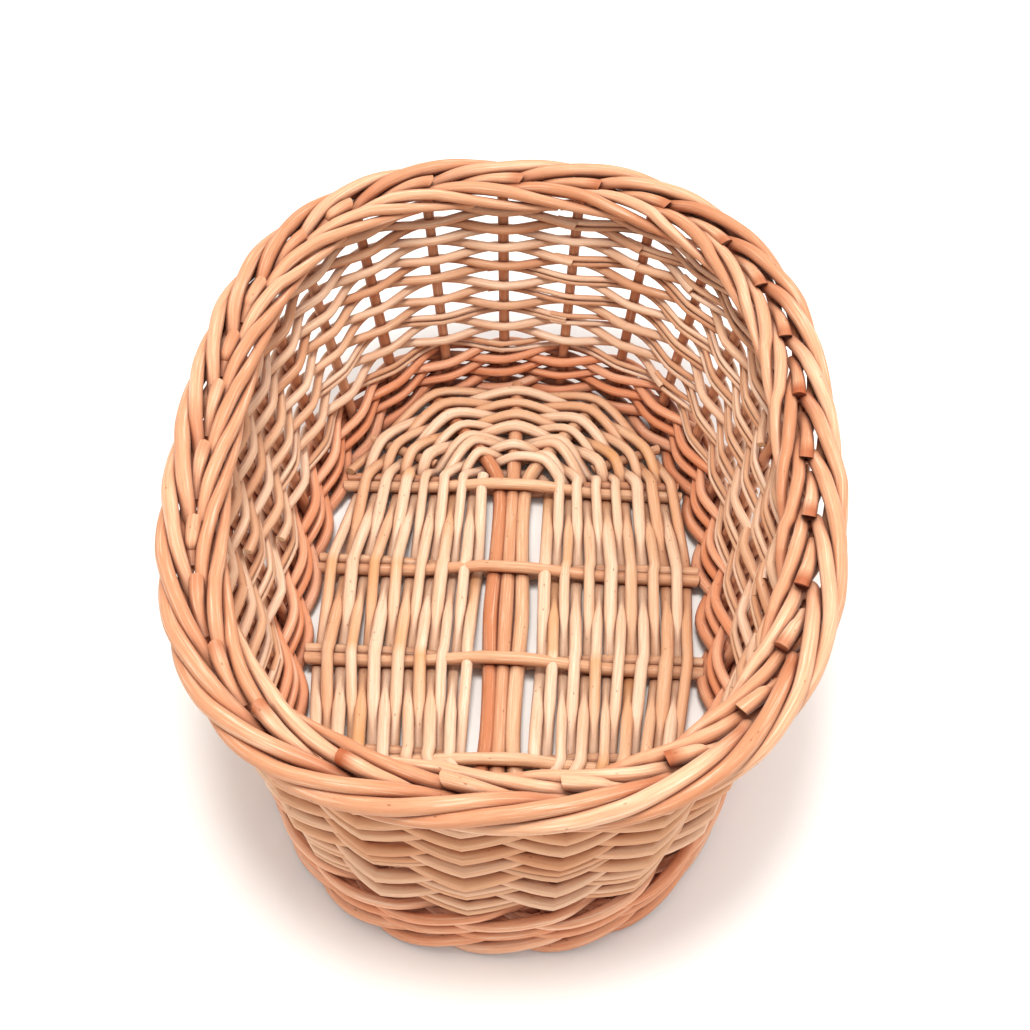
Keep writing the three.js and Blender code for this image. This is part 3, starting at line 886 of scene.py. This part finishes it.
def stakeRod(stake):
    seed = dice.random()
    wander = wanderSeed(seed)
    foot = np.zeros((border["footPoints"], 4))
    levels = np.linspace(border["footStart"], basket["borderLevel"] - border["footEnd"], len(foot))
    foot[:, 2] = levels - basket["borderLevel"]
    foot[:, 3] = basket["stakeRadius"]
    turned = np.array(border["path"], float)
    endPoints = border["endPoints"]
    turned[-endPoints:, 0] += np.linspace(0, dice.uniform(*border["endShift"]), endPoints)
    controls = borderCurve(np.concatenate([foot, turned]))
    first = len(foot) * border["steps"]
    controls[first:, 1] += slowNoise(len(controls) - first, *border["pathWander"], wander)
    controls[first:, 2] += slowNoise(len(controls) - first, *border["pathWander"], wander + 1)
    controls = rolled(stake, controls)
    path = borderPath(stake, controls)
    thicker = slowNoise(len(path), *border["radiusWander"], wander + 2)
    radii = controls[:, 3] * dice.uniform(*border["thickness"]) + thicker
    # darker at the knee, partly wear and partly painted shade; in the wall the stake gets an even painted
    # shade
    stainAndShade = np.interp(controls[:, 0], *zip(*border["kneeWearAndShade"])) * dice.uniform(*border["kneeStrength"])
    stainAndShade[controls[:, 2] < border["wallBelow"]] = border["wallPaintedShade"]
    inner, outer = wallPoints([stake, stake], border["facingLevel"], [0, 1])
    ends = {"reference": outer - inner, "slant": border["slant"]}
    return makeRod(path, radii, border["sides"], seed=seed, stainAndShade=stainAndShade, **ends)


def secondRod(stake):
    lower, further, shorter, darker = (
        np.interp(stake, *zip(*secondPass[key])) for key in ("lower", "further", "shorter", "darker")
    )
    controls = np.array(secondPass["path"], float)
    endShares = np.array(secondPass["endShares"])
    controls[:, 1] += dice.uniform(*secondPass["sideShift"])
    controls[:, 1] += further
    controls[-len(endShares):, 0] += dice.uniform(*secondPass["endShift"]) - shorter * endShares
    controls[:, 2] -= lower
    controls = rolled(stake, borderCurve(controls))
    path = borderPath(stake, controls)
    # browner towards the cut end, partly the wood's own colour and partly painted shade
    toEnd = np.linalg.norm(path - path[-1], axis=1)
    isPale = stake + 1 in secondPass["paleEnds"]
    strength = 0 if isPale else dice.uniform(*secondPass["stainAndShadeStrength"]) * darker
    stainAndShade = np.clip(secondPass["stainAndShadeStart"] - toEnd / secondPass["stainAndShadeLength"], 0, 1) * strength
    seed, slant = dice.random(), dice.uniform(*secondPass["slant"])
    return makeRod(path, controls[:, 3], border["sides"], seed=seed, slant=slant, stainAndShade=stainAndShade)


def addStakes():
    for stake in range(basket["stakes"]):
        rods = [stakeRod(stake), secondRod(stake)]
        name = f"{stake + 1:02d}"
        nodes = ["stake_and_border_rod_" + name]
        addPiece("stake_" + name, rods, stakeWillow, nodes)


addStakes()
print("stakes and border made")


# Backdrop and light, in metres

backdrop = {"size": 8, "colour": "#F7F6F4", "roughness": 0.9}
sky = {"colour": "#FDFBF8", "horizon": 0.7, "overhead": 1.0, "overheadFrom": 0.8}
softBoxes = {
    "key": {"place": (-0.05, -0.2, 1.35), "size": 0.35, "power": 13.5, "colour": "#FFFAF4"},
    "fill": {"place": (0.7, 0.5, 1.1), "size": 0.9, "power": 4, "colour": "#F8F9FF"},
}
lightTarget = Vector((0, 0, 0.05))

bpy.ops.mesh.primitive_plane_add(size=backdrop["size"], location=(0, 0, 0))
ground = bpy.context.object
ground.name = "ground"
# Matt paper: nearly white and without a sheen, so that only the basket's shadow shows on it
groundFinish = bpy.data.materials.new("Paper backdrop, matt")
groundFinish.use_nodes = True
groundShader = groundFinish.node_tree.nodes["Principled BSDF"]
groundShader.inputs["Base Color"].default_value = toLinear(backdrop["colour"])
groundShader.inputs["Roughness"].default_value = backdrop["roughness"]
ground.data.materials.append(groundFinish)

world = bpy.data.worlds.new("Soft studio")
bpy.context.scene.world = world
world.use_nodes = True
background = world.node_tree.nodes["Background"]
background.inputs["Color"].default_value = toLinear(sky["colour"])
direction = addNode(world.node_tree, "TexCoord").outputs["Generated"]
height = addNode(world.node_tree, "SeparateXYZ", {}, {"Vector": direction}).outputs["Z"]
strength = addNode(world.node_tree, "MapRange", {}, {
    "Value": height, "From Min": 0, "From Max": sky["overheadFrom"],
    "To Min": sky["horizon"], "To Max": sky["overhead"],
})
world.node_tree.links.new(strength.outputs[0], background.inputs["Strength"])

for name, box in softBoxes.items():
    bpy.ops.object.light_add(type="AREA", location=box["place"])
    lamp = bpy.context.object
    lamp.name = name
    lamp.data.shape = "DISK"
    lamp.data.size = box["size"]
    lamp.data.energy = box["power"]
    lamp.data.color = toLinear(box["colour"])[:3]
    lamp.rotation_euler = (lightTarget - Vector(box["place"])).to_track_quat("-Z", "Y").to_euler()


# Camera, where the photograph was taken from

camera = {
    "place": (15.99, -461.36, 609.56),
    "pitch": 48.87,  # degrees below level
    "yaw": -1.55,
    "roll": 0.88,
    "lens": 55.84,
    "sensor": 36,
    "clipStart": 0.01,  # metres
}

pitch, yaw, roll = (math.radians(camera[key]) for key in ("pitch", "yaw", "roll"))
forward = Vector((math.sin(yaw) * math.cos(pitch), math.cos(yaw) * math.cos(pitch), -math.sin(pitch)))
level = Vector((math.cos(yaw), -math.sin(yaw), 0))
upward = level.cross(forward)
right = level * math.cos(roll) + upward * math.sin(roll)
top = upward * math.cos(roll) - level * math.sin(roll)
bpy.ops.object.camera_add()
eye = bpy.context.object
eye.name = "photoCamera"
turn = Matrix((right, top, -forward)).transposed()
eye.matrix_world = Matrix.Translation(Vector(camera["place"]) * mm) @ turn.to_4x4()
eye.data.lens = camera["lens"]
eye.data.sensor_width = camera["sensor"]
eye.data.clip_start = camera["clipStart"]
bpy.context.scene.camera = eye
bpy.context.scene.view_settings.view_transform = "Standard"
print("stage made")
